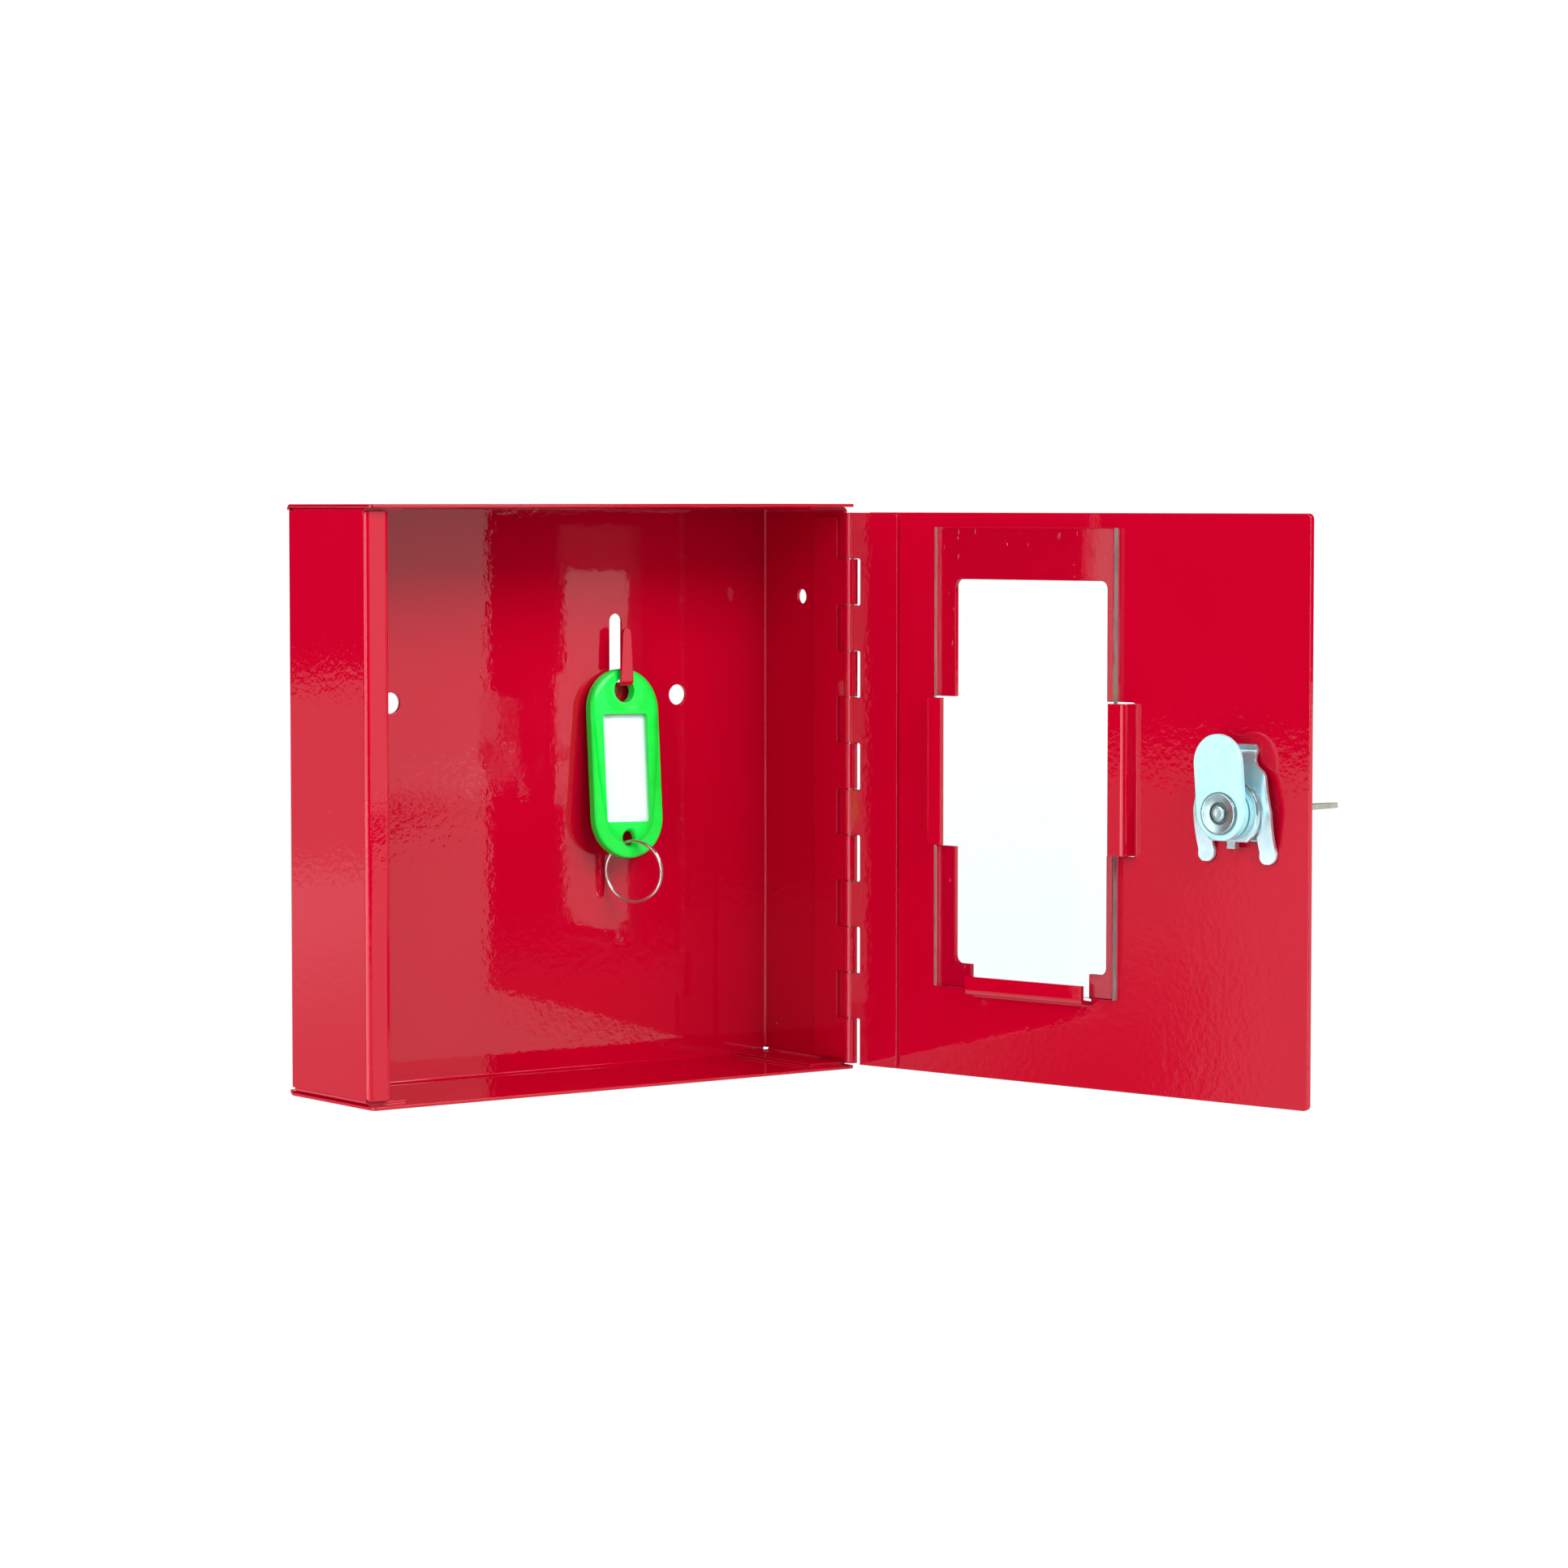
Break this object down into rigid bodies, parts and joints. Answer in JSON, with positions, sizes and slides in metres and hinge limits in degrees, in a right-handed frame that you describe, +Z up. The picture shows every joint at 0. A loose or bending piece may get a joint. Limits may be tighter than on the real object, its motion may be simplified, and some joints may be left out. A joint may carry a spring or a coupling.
{
  "type": "break glass key box",
  "caption": "Wall-mounted red sheet-steel emergency key box with a glazed hinged door, cam lock and key, and an inner hook holding a key tag.",
  "frame": {"origin": "on the back face, midway between the two wall holes", "axes": "+X to the right seen from the front, +Y into the wall, +Z up"},
  "size_m": [0.2058, 0.1851, 0.15],
  "materials": {
    "red_paint": "deep glossy red enamel over folded sheet steel",
    "pin_steel": "drawn wire",
    "zinc": "bluish-white die-cast zinc alloy, slightly satin",
    "clip_steel": "pressed spring steel, bright zinc plate",
    "zinc_plate": "bluish-white zinc plate on pressed steel",
    "bright_steel": "bright turned and peened end",
    "key_steel": "nickel-plated, brownish grey at the sheared edge",
    "green_plastic": "bright green moulded plastic",
    "white_paper": "plain white card",
    "clear_plastic": "clear flexible film",
    "pane_glass": "clear with grey-green rough cut edges",
    "ring_steel": "nickel-plated spring wire",
    "wafer_brass": "pressed brass",
    "spring_steel": "fine spring wire"
  },
  "bodies": {
    "case": {"case_tray": "red_paint", "case_hinge_leaf": "red_paint", "hinge_pin": "pin_steel"},
    "door": {"door_panel": "red_paint", "door_hinge_leaf": "red_paint", "lock_housing": "zinc", "lock_clip": "clip_steel"},
    "pane": {"glass_pane": "pane_glass"},
    "lock_core": {"lock_plug": "zinc", "stop_washer": "zinc_plate", "lock_cam": "zinc_plate", "cam_rivet": "bright_steel", "wafer_1": "wafer_brass", "wafer_2": "wafer_brass", "wafer_3": "wafer_brass", "wafer_4": "wafer_brass", "wafer_spring_1": "spring_steel", "wafer_spring_2": "spring_steel", "wafer_spring_3": "spring_steel", "wafer_spring_4": "spring_steel"},
    "key": {"lock_key": "key_steel"},
    "tag": {"tag_body": "green_plastic", "tag_label": "white_paper", "tag_window": "clear_plastic"},
    "ring": {"split_ring": "ring_steel"}
  },
  "joints": [
    {"name": "door_hinge", "type": "hinge", "parent": "case", "child": "door", "pos_m": [0.0747, -0.0385, -0.0245], "axis": [0, 0, 1], "range_deg": [-101.5, 78.5]},
    {"name": "pane_slide", "type": "slide", "parent": "door", "child": "pane", "axis": [0, 0, 1], "range_m": [0, 0.125]},
    {"name": "lock_turn", "type": "hinge", "parent": "door", "child": "lock_core", "pos_m": [0.10026, -0.16413, -0.025], "axis": [-0.9799, -0.1994, 0], "range_deg": [-94.5, 0]},
    {"name": "key_slide", "type": "slide", "parent": "lock_core", "child": "key", "axis": [0.9799, 0.1994, 0], "range_m": [0, 0.03]},
    {"name": "tag_swing", "type": "hinge", "parent": "case", "child": "tag", "pos_m": [0.025, -0.00345, 0.00166], "axis": [0, -0.9956, 0.0941], "range_deg": [-10, 10]},
    {"name": "ring_swing", "type": "hinge", "parent": "tag", "child": "ring", "pos_m": [0.02432, -0.00714, -0.03818], "axis": [0.4924, -0.8704, 0], "range_deg": [-15, 1]}
  ]
}
